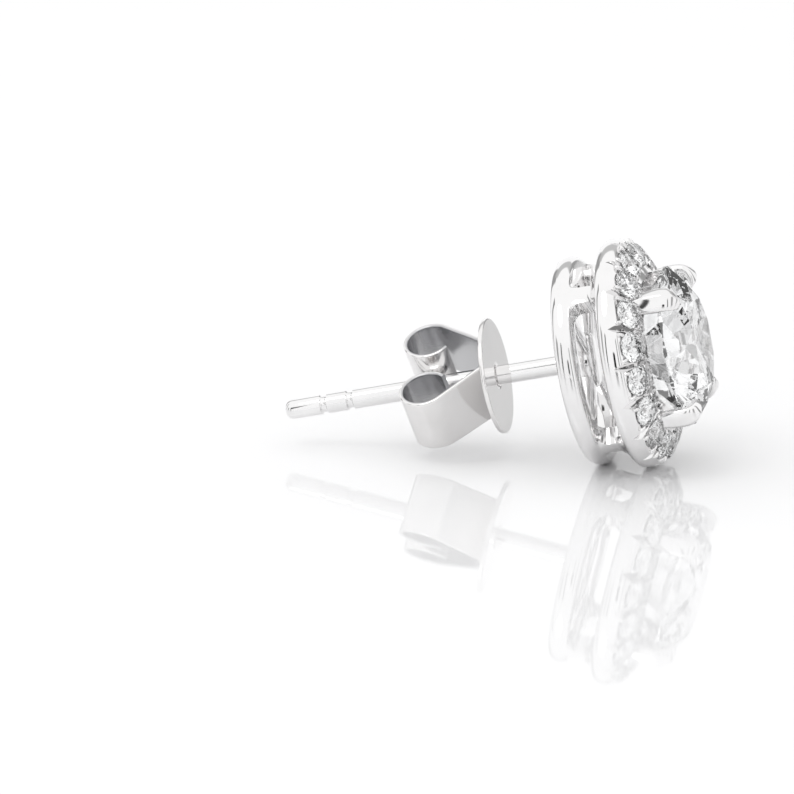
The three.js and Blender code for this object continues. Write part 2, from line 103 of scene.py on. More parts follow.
# %% [markdown]
# ## Camera
#
# The picture is a product shot through a long lens, low over the table, with the earring to the right of
# the middle. A long lens keeps the two rings from swelling towards the camera. The scale is read from the
# picture, and so is the pixel where the middle of the base ring's back appears; the camera is aimed so
# that this point falls there, with no shift and no roll.

# %% Camera
PICTURE_SIDE = 794  # pixels
PIXELS_PER_MM = 24.6
BASE_MIDDLE_PIXEL = (576.4, 362.3)
VIEW_AZIMUTH = math.radians(11.4)
VIEW_ELEVATION = math.radians(14.1)
CAMERA_DISTANCE = 0.25

towards_camera = Vector((
    math.sin(VIEW_AZIMUTH) * math.cos(VIEW_ELEVATION),
    -math.cos(VIEW_AZIMUTH) * math.cos(VIEW_ELEVATION),
    math.sin(VIEW_ELEVATION),
))
picture_right = Vector((math.cos(VIEW_AZIMUTH), math.sin(VIEW_AZIMUTH), 0.0))
picture_up = towards_camera.cross(picture_right)
field = PICTURE_SIDE / PIXELS_PER_MM * MM
metres_per_pixel = field / PICTURE_SIDE
aim = (
    base_middle
    - picture_right * (BASE_MIDDLE_PIXEL[0] - PICTURE_SIDE / 2) * metres_per_pixel
    + picture_up * (BASE_MIDDLE_PIXEL[1] - PICTURE_SIDE / 2) * metres_per_pixel
)
camera_data = bpy.data.cameras.new("camera")
camera_data.sensor_width = 36.0
camera_data.lens = camera_data.sensor_width * CAMERA_DISTANCE / field
camera_data.clip_start = 0.01
camera_data.clip_end = 50.0
camera = bpy.data.objects.new("camera", camera_data)
bpy.context.scene.collection.objects.link(camera)
camera.location = aim + towards_camera * CAMERA_DISTANCE
camera.rotation_mode = "QUATERNION"
camera.rotation_quaternion = (-towards_camera).to_track_quat("-Z", "Y")
bpy.context.scene.camera = camera
print("lens", round(camera_data.lens), "mm, field", round(field / MM, 2), "mm")

# %% [markdown]
# ## Small helpers for materials
#
# Node trees read like recipes when each line adds one node and joins it. These helpers do that. `add`
# makes a node and fills its sockets: a plain value is set on the socket, and another node's output is
# linked to it.

# %% Node helpers


def fill(tree, socket, value):
    """Sets a socket to a value, or links another node's output to it."""
    if isinstance(value, bpy.types.NodeSocket):
        tree.links.new(value, socket)
    else:
        socket.default_value = value


def add(tree, kind, inputs=None, **settings):
    """Adds a node of a kind, with its settings, and fills its inputs with values or links."""
    node = tree.nodes.new(kind)
    for name, value in settings.items():
        setattr(node, name, value)
    for key, value in (inputs or {}).items():
        fill(tree, node.inputs[key], value)
    return node


def calculate(tree, operation, a, b=0.5, clamp=False):
    """One sum of two values."""
    return add(tree, "ShaderNodeMath", {0: a, 1: b}, operation=operation, use_clamp=clamp).outputs[0]


def spread(tree, value, from_low, from_high, to_low=0.0, to_high=1.0):
    """A value carried from one range to another, smoothly, and held at its ends."""
    ranges = {"From Min": from_low, "From Max": from_high, "To Min": to_low, "To Max": to_high}
    node = add(tree, "ShaderNodeMapRange", {"Value": value, **ranges}, interpolation_type="SMOOTHSTEP")
    return node.outputs["Result"]


def mixed(tree, share, first, second):
    """A colour between two others."""
    node = add(tree, "ShaderNodeMix", data_type="RGBA")
    for socket, value in ((0, share), (6, first), (7, second)):
        fill(tree, node.inputs[socket], value)
    return node.outputs[2]


# %% [markdown]
# ## The studio
#
# A white tent with nothing in it would make white gold vanish: every facet would mirror the same white.
# Product photographers hang grey and black cards in the tent so that edges and domes get their dark
# lines. We do it in the world shader: a white surround, and a few soft-edged cards at chosen directions.
# The narrow dark ones draw the thin lines along the rings. The last three make an arch behind the
# earring, just outside what the table mirrors to the camera: they give the metal its grey outline
# against the white. It is light that comes from far away, so it looks right from every side.

# %% World of soft light and dark cards
world = bpy.data.worlds.new("studio")
bpy.context.scene.world = world
world.use_nodes = True
sky = world.node_tree
sky.nodes.clear()
direction = add(sky, "ShaderNodeTexCoord").outputs["Generated"]
sky_height = add(sky, "ShaderNodeSeparateXYZ", {0: direction}).outputs["Z"]
level = add(sky, "ShaderNodeVectorMath", {0: direction, 1: (1, 1, 0)}, operation="MULTIPLY").outputs[0]
heading = add(sky, "ShaderNodeVectorMath", {0: level}, operation="NORMALIZE").outputs[0]


def card_mask(azimuth, half_width, low, high, softness):
    """A mask that is 1 on an upright card. All are angles in degrees, with azimuth as the camera's."""
    turn = math.radians(azimuth)
    centre = (math.sin(turn), -math.cos(turn), 0.0)
    facing = add(sky, "ShaderNodeVectorMath", {0: heading, 1: centre}, operation="DOT_PRODUCT")
    inner = math.cos(math.radians(half_width))
    outer = math.cos(math.radians(half_width + softness))
    beside = spread(sky, facing.outputs["Value"], outer, inner)
    elevations = (low - softness, low, high, high + softness)
    bottom, foot, head, top = (math.sin(math.radians(elevation)) for elevation in elevations)
    over = spread(sky, sky_height, bottom, foot)
    under = spread(sky, sky_height, head, top, 1.0, 0.0)
    return calculate(sky, "MULTIPLY", calculate(sky, "MULTIPLY", over, under), beside)


# Columns: azimuth, half width, lowest and highest elevation and softness in degrees, brightness, opacity
SKY_CARDS = (
    (11, 4, 3, 16, 2, 0.01, 1.0),
    (38, 2, -5, 30, 2, 0.03, 0.95),
    (74, 5, -5, 26, 4, 0.3, 0.9),
    (112, 3, 0, 45, 3, 0.2, 0.95),
    (-30, 2.5, -5, 26, 2, 0.02, 0.95),
    (-62, 5, 0, 16, 5, 0.2, 0.8),
    (-98, 3, -5, 40, 3, 0.2, 0.95),
    (160, 6, -5, 32, 5, 0.3, 0.95),
    (-139, 7, -5, 32, 5, 0.3, 0.95),
    (-169, 30, 26, 38, 5, 0.5, 0.9),
)
HORIZON_GREY = (0.97, 0.97, 0.975, 1)
OVERHEAD_WHITE = (1.0, 1.0, 1.0, 1)
GREY_BELOW, WHITE_ABOVE = -0.1, 0.7  # as the sine of the elevation
EXPOSURE = 0.12
upwards = spread(sky, sky_height, GREY_BELOW, WHITE_ABOVE)
tent = mixed(sky, upwards, HORIZON_GREY, OVERHEAD_WHITE)
for azimuth, half_width, low, high, softness, brightness, opacity in SKY_CARDS:
    mask = calculate(sky, "MULTIPLY", card_mask(azimuth, half_width, low, high, softness), opacity)
    tent = mixed(sky, mask, tent, (brightness, brightness, brightness, 1))
background = add(sky, "ShaderNodeBackground", {"Color": tent, "Strength": 1.0})
add(sky, "ShaderNodeOutputWorld", {"Surface": background.outputs[0]})
bpy.context.scene.view_settings.view_transform = "Standard"
bpy.context.scene.view_settings.exposure = EXPOSURE
bpy.context.scene.cycles.max_bounces = 24
bpy.context.scene.cycles.transmission_bounces = 20
bpy.context.scene.cycles.glossy_bounces = 8
print("cards in the studio:", len(SKY_CARDS))

# %% [markdown]
# The table is a pale, glossy sheet. Seen as low as this, it mirrors the earring, as it does in the
# picture. A small soft box adds the few bright points that a tent alone can't give.

# %% Table and soft box
TABLE_HALF = 3.0
TABLE_TONE = (0.93, 0.93, 0.935, 1)
TABLE_ROUGHNESS = 0.035
SOFT_BOX_SIZE = 0.12
SOFT_BOX_WATTS = 0.05
SOFT_BOX_PLACE = (-0.08, -0.1, 0.22)
table_mesh = bpy.data.meshes.new("table")
table_mesh.from_pydata(
    [(x * TABLE_HALF, y * TABLE_HALF, 0.0) for x, y in ((-1, -1), (1, -1), (1, 1), (-1, 1))],
    [],
    [(0, 1, 2, 3)],
)
table = bpy.data.objects.new("table", table_mesh)
bpy.context.scene.collection.objects.link(table)
table_finish = bpy.data.materials.new("pale sheet")
table_finish.use_nodes = True
sheet = table_finish.node_tree.nodes["Principled BSDF"]
sheet.inputs["Base Color"].default_value = TABLE_TONE
sheet.inputs["Roughness"].default_value = TABLE_ROUGHNESS
sheet.inputs["IOR"].default_value = 1.5
table_mesh.materials.append(table_finish)

soft_box_data = bpy.data.lights.new("soft box", "AREA")
soft_box_data.shape = "DISK"
soft_box_data.size = SOFT_BOX_SIZE
soft_box_data.energy = SOFT_BOX_WATTS
soft_box = bpy.data.objects.new("soft box", soft_box_data)
bpy.context.scene.collection.objects.link(soft_box)
soft_box.location = SOFT_BOX_PLACE
soft_box.rotation_euler = (-soft_box.location).to_track_quat("-Z", "Y").to_euler()
print("table half as long as", TABLE_HALF, "m; soft box", SOFT_BOX_SIZE, "m across")

# %% [markdown]
# ## Finishes
#
# Polished white gold has hair-fine polishing lines, and a breath of haze where a finger or a cloth passed.
# Both metals of this earring share that effect, so it is one node group with its own inputs. It gives out
# a roughness, a height for the bump and a tone, and the shader stays in each material.

# %% Group: polish marks


def new_group(name, inputs, outputs):
    """A shader node group with named number inputs and number outputs."""
    group = bpy.data.node_groups.new(name, "ShaderNodeTree")
    for socket, value in inputs:
        made = group.interface.new_socket(socket, in_out="INPUT", socket_type="NodeSocketFloat")
        made.default_value = value
    for socket in outputs:
        group.interface.new_socket(socket, in_out="OUTPUT", socket_type="NodeSocketFloat")
    return group, group.nodes.new("NodeGroupInput").outputs, group.nodes.new("NodeGroupOutput").inputs


LINE_STRETCH = (1.0, 0.35, 6.0)
LINE_TURN = (0.3, 0.4, 0.2)
HAZE_EDGES = (0.42, 0.7)
HAZE_WEIGHT = 0.75
LINE_WEIGHT = 0.35
polish, given, gives = new_group(
    "Polish marks",
    [("Smoothest", 0.03), ("Haziest", 0.12), ("Line Size", 2600.0), ("Haze Size", 420.0)],
    ["Roughness", "Height", "Tone"],
)
where = add(polish, "ShaderNodeTexCoord").outputs["Object"]
haze = add(polish, "ShaderNodeTexNoise", {"Vector": where, "Scale": given["Haze Size"], "Detail": 4.0})
haze_mask = spread(polish, haze.outputs[0], *HAZE_EDGES)
stretch = {"Vector": where, "Scale": LINE_STRETCH, "Rotation": LINE_TURN}
drawn_out = add(polish, "ShaderNodeMapping", stretch).outputs[0]
fine = {"Vector": drawn_out, "Scale": given["Line Size"], "Detail": 6.0, "Roughness": 0.7}
lines = add(polish, "ShaderNodeTexNoise", fine).outputs[0]
haze_share = calculate(polish, "MULTIPLY", haze_mask, HAZE_WEIGHT)
line_share = calculate(polish, "MULTIPLY", lines, LINE_WEIGHT)
marks = calculate(polish, "ADD", haze_share, line_share, clamp=True)
ends = {"Value": marks, "To Min": given["Smoothest"], "To Max": given["Haziest"]}
polish.links.new(add(polish, "ShaderNodeMapRange", ends).outputs[0], gives["Roughness"])
polish.links.new(lines, gives["Height"])
polish.links.new(marks, gives["Tone"])
print("polish marks:", len(polish.nodes), "nodes")

# %% [markdown]
# A stone's inside is never perfectly empty either. The faintest cloud in its colour keeps it from looking
# like a computer's glass. The big stone and the small ones share it.

# %% Group: faint clouds
CLOUD_EDGES = (0.35, 0.7)
clouds, given, gives = new_group("Faint clouds", [("Cloud Size", 900.0)], ["Cloud"])
where = add(clouds, "ShaderNodeTexCoord").outputs["Object"]
veil = add(clouds, "ShaderNodeTexNoise", {"Vector": where, "Scale": given["Cloud Size"], "Detail": 3.0})
clouds.links.new(spread(clouds, veil.outputs[0], *CLOUD_EDGES), gives["Cloud"])
print("faint clouds:", len(clouds.nodes), "nodes")

# %% [markdown]
# White gold is a plain metal shader: its looks come from what it mirrors. The setting is polished
# brightest. The back is stamped from strip and handled more, so it gets more haze and a rougher polish.

# %% White gold, polished
LINE_HEIGHT = 0.00002


def white_gold(name, bright, worn, smoothest, haziest, bump):
    """A white gold finish: mirror polish with its own tones, haze and polishing lines."""
    material = bpy.data.materials.new(name)
    material.use_nodes = True
    tree = material.node_tree
    shader = tree.nodes["Principled BSDF"]
    shader.inputs["Metallic"].default_value = 1.0
    marked = add(tree, "ShaderNodeGroup", node_tree=polish)
    marked.inputs["Smoothest"].default_value = smoothest
    marked.inputs["Haziest"].default_value = haziest
    tree.links.new(mixed(tree, marked.outputs["Tone"], (*bright, 1), (*worn, 1)), shader.inputs["Base Color"])
    tree.links.new(marked.outputs["Roughness"], shader.inputs["Roughness"])
    lines_height = {"Height": marked.outputs["Height"], "Strength": bump, "Distance": LINE_HEIGHT}
    relief = add(tree, "ShaderNodeBump", lines_height)
    tree.links.new(relief.outputs[0], shader.inputs["Normal"])
    return material


setting_metal = white_gold(
    "bright white gold",
    bright=(0.89, 0.885, 0.885),
    worn=(0.83, 0.825, 0.825),
    smoothest=0.02,
    haziest=0.08,
    bump=0.05,
)
back_metal = white_gold(
    "white gold strip",
    bright=(0.88, 0.87, 0.865),
    worn=(0.8, 0.79, 0.785),
    smoothest=0.06,
    haziest=0.2,
    bump=0.1,
)
print("metals:", setting_metal.name, "and", back_metal.name)

# %% [markdown]
# A diamond bends light far more than glass, so its refraction is the number that matters. The sparkle is
# the frame's own flat facets: the stones stay as they are and only get their finish.

# %% Diamond
DIAMOND_IOR = 2.417
CLEAR = (0.995, 0.998, 1.0, 1)
VEILED = (0.97, 0.975, 0.98, 1)


def diamond(name, cloud_size):
    """A colourless diamond: clear, with a diamond's own refraction."""
    material = bpy.data.materials.new(name)
    material.use_nodes = True
    tree = material.node_tree
    shader = tree.nodes["Principled BSDF"]
    shader.inputs["Metallic"].default_value = 0.0
    shader.inputs["Roughness"].default_value = 0.0
    shader.inputs["IOR"].default_value = DIAMOND_IOR
    shader.inputs["Transmission Weight"].default_value = 1.0
    cloudy = add(tree, "ShaderNodeGroup", node_tree=clouds)
    cloudy.inputs["Cloud Size"].default_value = cloud_size
    tint = mixed(tree, cloudy.outputs["Cloud"], CLEAR, VEILED)
    tree.links.new(tint, shader.inputs["Base Color"])
    return material


big_diamond = diamond("centre diamond", 500.0)
small_diamond = diamond("halo diamonds", 2500.0)


def finish_node(node, material):
    """A CAD node that is right as it is keeps its mesh and gets its finish."""
    shape = frame["nodes"][node]
    shape.data.materials.clear()
    shape.data.materials.append(material)


finish_node("centre_stone", big_diamond)
small_stones = sorted(name for name in frame["nodes"] if name.startswith("halo_stone_"))
for name in small_stones:
    finish_node(name, small_diamond)
print("small stones:", len(small_stones))

# %% [markdown]
# ## Tools for shapes
#
# All shapes are made in the stud's frame in millimetres and carried into place at the end. That keeps the
# numbers readable, and Blender's solvers like numbers near one better than tiny ones. `finish_piece` makes
# a piece smooth, sets its sharp edges by angle, and hangs it on its body.

# %% Piece helpers


def loose_object(name, shape):
    """An object from a bmesh, in the stud's frame."""
    bmesh.ops.recalc_face_normals(shape, faces=shape.faces)
    mesh = bpy.data.meshes.new(name)
    shape.to_mesh(mesh)
    shape.free()
    piece = bpy.data.objects.new(name, mesh)
    bpy.context.scene.collection.objects.link(piece)
    return piece


def run_modifier(piece, kind, **settings):
    """Adds a modifier to a piece, runs it for good and keeps the mesh that it makes."""
    modifier = piece.modifiers.new(kind.lower(), kind)
    for name, value in settings.items():
        setattr(modifier, name, value)
    graph = bpy.context.evaluated_depsgraph_get()
    made = bpy.data.meshes.new_from_object(piece.evaluated_get(graph))
    piece.modifiers.clear()
    old = piece.data
    piece.data = made
    bpy.data.meshes.remove(old)


def subdivide(piece, levels):
    """Rounds a piece by subdivision, following its creases."""
    run_modifier(piece, "SUBSURF", levels=levels, render_levels=levels)


def combine(piece, operation, shape):
    """Joins a bmesh's closed forms to a piece, or cuts them out of it."""
    tool = loose_object("tool", shape)
    run_modifier(piece, "BOOLEAN", operation=operation, solver="MANIFOLD", object=tool)
    bpy.data.objects.remove(tool)


def finish_piece(piece, material, body, node, sharp=35.0):
    """Moves a piece from the stud's frame into the row, finishes it and hangs it on its body."""
    piece.data.transform(stud_to_row)
    piece.data.shade_smooth()
    piece.data.set_sharp_from_angle(angle=math.radians(sharp))
    piece.data.materials.clear()
    piece.data.materials.append(material)
    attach(piece, body)
    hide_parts(node)
    triangles = sum(len(face.vertices) - 2 for face in piece.data.polygons)
    print(piece.name, "triangles:", triangles)


def bridge(shape, first, second):
    """Quads between two closed rings of vertices."""
    count = len(first)
    for i in range(count):
        after = (i + 1) % count
        shape.faces.new((first[i], first[after], second[after], second[i]))


def turn_profile(shape, profile, sides, place=None):
    """Turns a closed profile of (radius, height) about the axis. A point on the axis becomes one vertex."""
    place = place or Matrix.Identity(4)
    rings = []
    for radius, z in profile:
        if radius == 0.0:
            rings.append([shape.verts.new(place @ Vector((0.0, 0.0, z)))])
            continue
        ring = []
        for i in range(sides):
            angle = 2 * math.pi * i / sides
            corner = Vector((radius * math.cos(angle), radius * math.sin(angle), z))
            ring.append(shape.verts.new(place @ corner))
        rings.append(ring)
    for low, high in zip(rings, rings[1:] + rings[:1]):
        if len(low) == 1 and len(high) == 1:
            continue
        if len(low) == 1 or len(high) == 1:
            tip, ring = (low[0], high) if len(low) == 1 else (high[0], low)
            for i in range(sides):
                shape.faces.new((tip, ring[i], ring[(i + 1) % sides]))
        else:
            bridge(shape, low, high)


def loft(shape, sections, place=None):
    """A closed form through sections, each a list of as many points. Returns the rings of vertices."""
    place = place or Matrix.Identity(4)
    rings = [[shape.verts.new(place @ Vector(point)) for point in section] for section in sections]
    for low, high in zip(rings, rings[1:]):
        bridge(shape, low, high)
    shape.faces.new(rings[0])
    shape.faces.new(rings[-1])
    return rings


# %% [markdown]
# ## Measures
#
# The sizes come from the frame's own solids, by asking for the largest radius between two heights. Only
# fine shapes, such as how long a prong is, are chosen further on.

# %% Measures of the rings
# Each pair of heights, in mm from the base ring's back, holds only the feature that is asked for
setting = Ruler("setting")
base_back, _ = setting.widest(-0.01, 0.01)
base_crest, base_crest_z = setting.widest(0.2, 0.7)
base_front, base_front_z = setting.widest(0.82, 0.95)
base_bore = setting.narrowest(0.95, 1.6)
waist, _ = setting.widest(0.95, 1.6)
halo_back, halo_back_z = setting.widest(1.75, 1.93)
halo_crest, halo_crest_z = setting.widest(2.2, 2.45)
halo_rim, halo_rim_z = setting.widest(2.83, 2.86)
halo_bore = setting.narrowest(1.88, 2.2)
BORE_BAND = 0.003  # mm; how far from its radius the bore's corners may lie
at_bore = abs(setting.radius - halo_bore) < BORE_BAND
cone_front_z = float(setting.z[at_bore & (setting.z < 3.8)].max())
lean = math.atan2(cone_front_z - halo_rim_z, halo_rim - halo_bore)
print("base ring: bore", round(base_bore, 2), "crest", round(base_crest, 2), "at", round(base_crest_z, 2))
print("halo: bore", round(halo_bore, 2), "crest", round(halo_crest, 2), "at", round(halo_crest_z, 2))
print("front edge", round(cone_front_z, 3), "lean", round(math.degrees(lean), 1), "waist", round(waist, 2))

# %% Measures of the stones
centre = Ruler("centre_stone")
stone_radius = float(centre.radius.max())
rim_heights = centre.z[centre.radius > stone_radius - SAME_PLACE]
stone_z = float(rim_heights.min() + rim_heights.max()) / 2
half_girdle = float(rim_heights.max() - rim_heights.min()) / 2
stone_top = float(centre.z.max())
stone_bottom = float(centre.z.min())
table_radius = float(centre.radius[centre.z > stone_top - SAME_PLACE].max())
print("centre stone", round(stone_radius, 3), "at", round(stone_z, 3), "table", round(table_radius, 3))

stone_angles = sorted(Ruler(name).angle for name in small_stones)
stone_pitch = 2 * math.pi / len(small_stones)
one = Ruler(small_stones[0])
cosine, sine = math.cos(one.angle), math.sin(one.angle)
outwards = one.points[:, 0] * cosine + one.points[:, 1] * sine
sideways = one.points[:, 1] * cosine - one.points[:, 0] * sine
along_slope = outwards * math.cos(lean) - one.z * math.sin(lean)
off_slope = outwards * math.sin(lean) + one.z * math.cos(lean)
small_radius = float(abs(sideways).max())
small_place = float(along_slope[off_slope.argmin()])
slope_height = halo_rim * math.sin(lean) + halo_rim_z * math.cos(lean)
stone_circle = small_place * math.cos(lean) + slope_height * math.sin(lean)
small_z = slope_height * math.cos(lean) - small_place * math.sin(lean)
small_depth = slope_height - float(off_slope.min())
small_top = float(off_slope.max()) - slope_height
print("small stones", round(small_radius, 3), "circle", round(stone_circle, 3), "z", round(small_z, 3))
print("depth", round(small_depth, 3), "top", round(small_top, 3))

# %% [markdown]
# ## Rings and gallery
#
# On the real piece the domed halo, the base ring and the four bridges between them are one casting,
# filed and polished until everything flows. A lathe shape with windows cut by booleans would give hard
# window edges and pinched reflections. So we build a control cage, with the windows left open and
# rounded in the cage itself, and let subdivision make the flowing surface. Creases on the window edges
# keep them crisp but not sharp, as polishing leaves them.

# %% Profiles of the two rings
WINDOW_CORNER = 0.24
DOME_STEPS = 3


def dome(from_radius, from_z, crest_radius, crest_z, include_crest=True):
    """A quarter of an ellipse from a corner up to the crest."""
    points = []
    for step in range(DOME_STEPS + include_crest):
        angle = step / DOME_STEPS * math.pi / 2
        radius = from_radius + (crest_radius - from_radius) * math.sin(angle)
        points.append((radius, crest_z + (from_z - crest_z) * math.cos(angle)))
    return points


base_chain = [(base_bore, base_front_z), (base_bore, 0.0)]
base_chain += dome(base_back, 0.0, base_crest, base_crest_z)
base_chain += dome(base_front, base_front_z, base_crest, base_crest_z, False)[::-1]
halo_chain = dome(halo_back, halo_back_z, halo_crest, halo_crest_z)
halo_chain += dome(halo_rim, halo_rim_z, halo_crest, halo_crest_z, False)[::-1]
halo_chain += [
    (stone_circle, small_z),
    (halo_bore, cone_front_z),
    (halo_bore, (cone_front_z + halo_back_z) / 2),
    (halo_bore, halo_back_z),
]
wall_low = base_front_z + WINDOW_CORNER
wall_high = halo_back_z - WINDOW_CORNER
wall_heights = (wall_low, (wall_low + wall_high) / 2, wall_high)
print("points round the base ring:", len(base_chain), "and the halo:", len(halo_chain))

# %% The cage's columns
BRIDGE_WIDTH = 0.8
BRIDGE_TURN = 52  # degrees from the near side and from the far side
BRIDGE_FILL = 0.12
BRIDGE_ANGLES = [math.radians(side * 90 + turn) for side in (-1, 1) for turn in (-BRIDGE_TURN, BRIDGE_TURN)]
WINDOW_STEP = math.radians(7)
jamb = BRIDGE_WIDTH / 2 / waist
corner = jamb + WINDOW_CORNER / waist
cage = bmesh.new()
columns = []


def add_column(angle, on_bridge):
    """One upright row of the cage's corners. On a bridge the wall is filled out to flow into both rings."""
    def spot(radius, z):
        return cage.verts.new((radius * math.cos(angle), radius * math.sin(angle), z))

    fill_out = BRIDGE_FILL if on_bridge else 0.0
    sill_radius, sill_z = base_chain[-1]
    lintel_radius, lintel_z = halo_chain[0]
    column = {
        "base": [spot(*p) for p in base_chain[:-1]] + [spot(sill_radius + fill_out, sill_z)],
        "halo": [spot(lintel_radius + fill_out / 2, lintel_z)] + [spot(*p) for p in halo_chain[1:]],
    }
    if on_bridge:
        column["outer"] = [spot(waist + fill_out, z) for z in wall_heights]
        column["inner"] = [spot(base_bore, z) for z in wall_heights]
    columns.append(column)


for start, end in zip(BRIDGE_ANGLES, BRIDGE_ANGLES[1:] + [BRIDGE_ANGLES[0] + 2 * math.pi]):
    add_column(start, True)
    add_column(start + jamb, True)
    opening = end - start - 2 * corner
    steps = round(opening / WINDOW_STEP)
    for i in range(steps + 1):
        add_column(start + corner + opening * i / steps, False)
    add_column(end - jamb, True)
print("columns:", len(columns))

# %% The cage's faces


def strips(first, second):
    """Quads between two open rows of corners."""
    for i in range(len(first) - 1):
        cage.faces.new((first[i], first[i + 1], second[i + 1], second[i]))


for number, here in enumerate(columns):
    after = columns[(number + 1) % len(columns)]
    strips(here["base"], after["base"])
    strips(here["halo"], after["halo"])
    here_wall, after_wall = "outer" in here, "outer" in after
    if here_wall and after_wall:
        for wall, base_end, halo_end in (("outer", -1, 0), ("inner", 0, -1)):
            strips(
                [here["base"][base_end], *here[wall], here["halo"][halo_end]],
                [after["base"][base_end], *after[wall], after["halo"][halo_end]],
            )
    elif not here_wall and not after_wall:
        for part in ("base", "halo"):
            cage.faces.new((here[part][0], after[part][0], after[part][-1], here[part][-1]))
    else:
        walled, open_one = (here, after) if here_wall else (after, here)
        for part, outer_end, inner_end, row in (("base", -1, 0, 0), ("halo", 0, -1, 2)):
            cage.faces.new((walled[part][outer_end], open_one[part][outer_end], walled["outer"][row]))
            cage.faces.new((walled[part][inner_end], open_one[part][inner_end], walled["inner"][row]))
            cage.faces.new((
                walled["outer"][row],
                open_one[part][outer_end],
                open_one[part][inner_end],
                walled["inner"][row],
            ))
        strips(walled["outer"], walled["inner"])
bmesh.ops.recalc_face_normals(cage, faces=cage.faces)
print("faces of the cage:", len(cage.faces))

# %% Creases and subdivision
WINDOW_CREASE = 0.72
SHARP_FOLD = math.radians(50)  # edges of the cage that bend by more are creased
crease = cage.edges.layers.float.new("crease_edge")
for edge in cage.edges:
    if edge.calc_face_angle(0.0) > SHARP_FOLD:
        edge[crease] = WINDOW_CREASE
rings = loose_object("rings_and_gallery", cage)
subdivide(rings, 2)
print("rings:", len(rings.data.polygons), "faces after subdivision")

# %% [markdown]
# ## Cut work on the halo
#
# The setter cuts a seat for each small stone, opens a hole behind it for light, and saws a V between
# neighbours that splits the metal into prongs. Here the grooves come first, then the prongs are raised,
# then the seats are cut, which trims each prong to its stone, and last the light holes. The tools are
# closed forms, so the fast manifold solver can be used.

# %% Grooves between the stones
GROOVE_DEPTH = 0.26
GROOVE_WIDTH = 0.4
INNER_GROOVE_DEPTH = 0.14
INNER_GROOVE_WIDTH = 0.15
CUTTER_OVERSHOOT = 0.3  # how far a groove's cutter reaches past the metal
CUTTER_TOP = 0.5  # how high it stands over the metal


def on_halo(angle):
    """From a stone's own frame (x outwards down the halo's front, z away from it) to the stud's."""
    lift = Matrix.Translation((stone_circle, 0.0, small_z))
    return Matrix.Rotation(angle, 4, "Z") @ lift @ Matrix.Rotation(lean, 4, "Y")


grooves = bmesh.new()
inner_end = halo_bore - stone_circle - CUTTER_OVERSHOOT
outer_end = (halo_crest - stone_circle) / math.cos(lean) + CUTTER_OVERSHOOT
for angle in stone_angles:
    ends = []
    for x, depth, width in (
        (inner_end, INNER_GROOVE_DEPTH, INNER_GROOVE_WIDTH),
        (outer_end, GROOVE_DEPTH, GROOVE_WIDTH),
    ):
        half = width / 2 / depth * (depth + CUTTER_TOP)
        ends.append([(x, 0.0, -depth), (x, half, CUTTER_TOP), (x, -half, CUTTER_TOP)])
    loft(grooves, ends, on_halo(angle + stone_pitch / 2))
combine(rings, "DIFFERENCE", grooves)
print("faces with", len(stone_angles), "grooves:", len(rings.data.polygons))

# %% Prongs
# Columns: x and y of the middle, half length, half width, height, degrees that the tip turns to the stone
PRONGS = (
    (0.5, 0.5, 0.24, 0.09, 0.15, 16.0),
    (-0.5, 0.44, 0.15, 0.075, 0.13, -24.0),
)
PRONG_TAPER = 0.35
PRONG_SEGMENTS = 12
PRONG_RINGS = 8


def prong(shape, angle, side, x, y, half_length, half_width, height, toe_in):
    """A little tongue of metal over a stone's girdle, pointed towards the middle of the halo."""
    turn = Matrix.Rotation(math.radians(toe_in) * side, 4, "Z")
    place = on_halo(angle) @ Matrix.Translation((x, y * side, 0.0)) @ turn
    ball = bmesh.ops.create_uvsphere(
        shape,
        u_segments=PRONG_SEGMENTS,
        v_segments=PRONG_RINGS,
        radius=1.0,
    )
    for vertex in ball["verts"]:
        along = vertex.co.x
        narrow = 1.0 + PRONG_TAPER * along
        local = (along * half_length, vertex.co.y * half_width * narrow, vertex.co.z * height * narrow)
        vertex.co = place @ Vector(local)


tongues = bmesh.new()
for angle in stone_angles:
    for side in (1, -1):
        for shape_of_prong in PRONGS:
            prong(tongues, angle, side, *shape_of_prong)
combine(rings, "UNION", tongues)
print("faces with prongs:", len(rings.data.polygons))

# %% Seats
STONE_GAP = 0.02
SEAT_SIDES = 32
GIRDLE_LOW, GIRDLE_HIGH = 0.02, 0.08
SMALL_TABLE_SHARE = 0.56
seats = bmesh.new()
seat_profile = [
    (0.0, -small_depth - STONE_GAP),
    (small_radius + STONE_GAP, GIRDLE_LOW),
    (small_radius + STONE_GAP, GIRDLE_HIGH),
    (small_radius * SMALL_TABLE_SHARE + STONE_GAP, small_top + STONE_GAP),
    (0.0, small_top + STONE_GAP),
]
for angle in stone_angles:
    turn_profile(seats, seat_profile, SEAT_SIDES, on_halo(angle))
combine(rings, "DIFFERENCE", seats)
print("faces with seats:", len(rings.data.polygons))

# %% Light holes
LIGHT_HOLE = 0.27
LIGHT_HOLE_SIDES = 16
LIGHT_HOLE_OVERSHOOT = 0.2
radius = stone_circle - small_depth * math.sin(lean)
top = small_z - small_depth * math.cos(lean) + LIGHT_HOLE
bottom = halo_back_z - LIGHT_HOLE_OVERSHOOT
pin = [(0.0, bottom), (LIGHT_HOLE, bottom), (LIGHT_HOLE, top), (0.0, top)]
holes = bmesh.new()
for angle in stone_angles:
    place = Matrix.Rotation(angle, 4, "Z") @ Matrix.Translation((radius, 0.0, 0.0))
    turn_profile(holes, pin, LIGHT_HOLE_SIDES, place)
combine(rings, "DIFFERENCE", holes)
finish_piece(rings, setting_metal, "stud", "setting")

# %% [markdown]
# ## Claws
#
# Four claws stand on the halo's inner edge, rise past the stone's girdle and bend in over its crown. The
# setter files each to a ridge that runs out to a point, like a leaf. Each is a loft of a few sections along
# a bent line; subdivision rounds it, creases keep the ridge, and the stone's own room is cut out last, so
# the claw has the notch that the girdle sits in.

